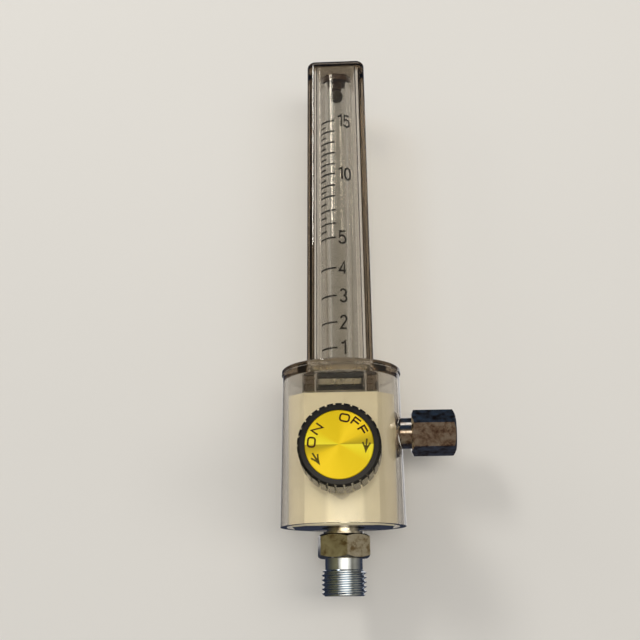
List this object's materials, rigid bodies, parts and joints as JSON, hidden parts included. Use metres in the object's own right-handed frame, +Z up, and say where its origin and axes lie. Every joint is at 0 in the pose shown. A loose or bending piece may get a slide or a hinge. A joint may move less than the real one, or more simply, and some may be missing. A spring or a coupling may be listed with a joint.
{
  "type": "oxygen flowmeter",
  "caption": "Wall-outlet gas flowmeter: clear square tube with a scale and float ball, clear skirt over a white valve block, ribbed knob, side inlet and threaded outlet.",
  "frame": {"origin": "centre of the outlet thread's end face, on the axis of the flow tube", "axes": "+Z up along the flow tube, -Y out of the knob's face, +X along the inlet, pointing away from the body"},
  "size_m": [0.0581, 0.0565, 0.1884],
  "materials": {
    "chrome": "polished chrome plate on brass",
    "black_rubber": "matt",
    "body_paint": "ivory white paint, semi gloss",
    "nickel": "nickel plate on brass",
    "clear_cover": "clear polycarbonate, polished",
    "clear_tube": "clear plastic, polished",
    "brass": "machined",
    "ball": "polished dark ball",
    "stop_plastic": "dark brown moulding",
    "bronze": "sintered bronze",
    "knob_plastic": "moulded, satin",
    "disc_yellow": "yellow anodised, spun"
  },
  "bodies": {
    "meter": {"outlet_fitting": "chrome", "outlet_seal": "black_rubber", "valve_body": "body_paint", "tube_socket": "nickel", "cover_o_ring_lower": "black_rubber", "cover_o_ring_upper": "black_rubber", "outer_cover": "clear_cover", "flow_tube": "clear_tube", "tube_o_ring": "black_rubber", "ball_seat": "brass", "ball_stop": "stop_plastic", "inlet_fitting": "chrome", "inlet_filter": "bronze", "valve_seat": "brass", "valve_bonnet": "nickel", "bonnet_o_ring": "black_rubber"},
    "control": {"knob": "knob_plastic", "dial_disc": "disc_yellow", "knob_screw": "nickel", "valve_spindle": "nickel", "spindle_o_ring": "black_rubber"},
    "float": {"float_ball": "ball"}
  },
  "joints": [
    {"name": "knob_turn", "type": "hinge", "parent": "meter", "child": "control", "pos_m": [0, -0.0355, 0.0427], "axis": [0, -1, 0], "range_deg": [0, 450]},
    {"name": "float_slide", "type": "slide", "parent": "meter", "child": "float", "axis": [0, 0, 1], "range_m": [-0.1063, 0]}
  ]
}
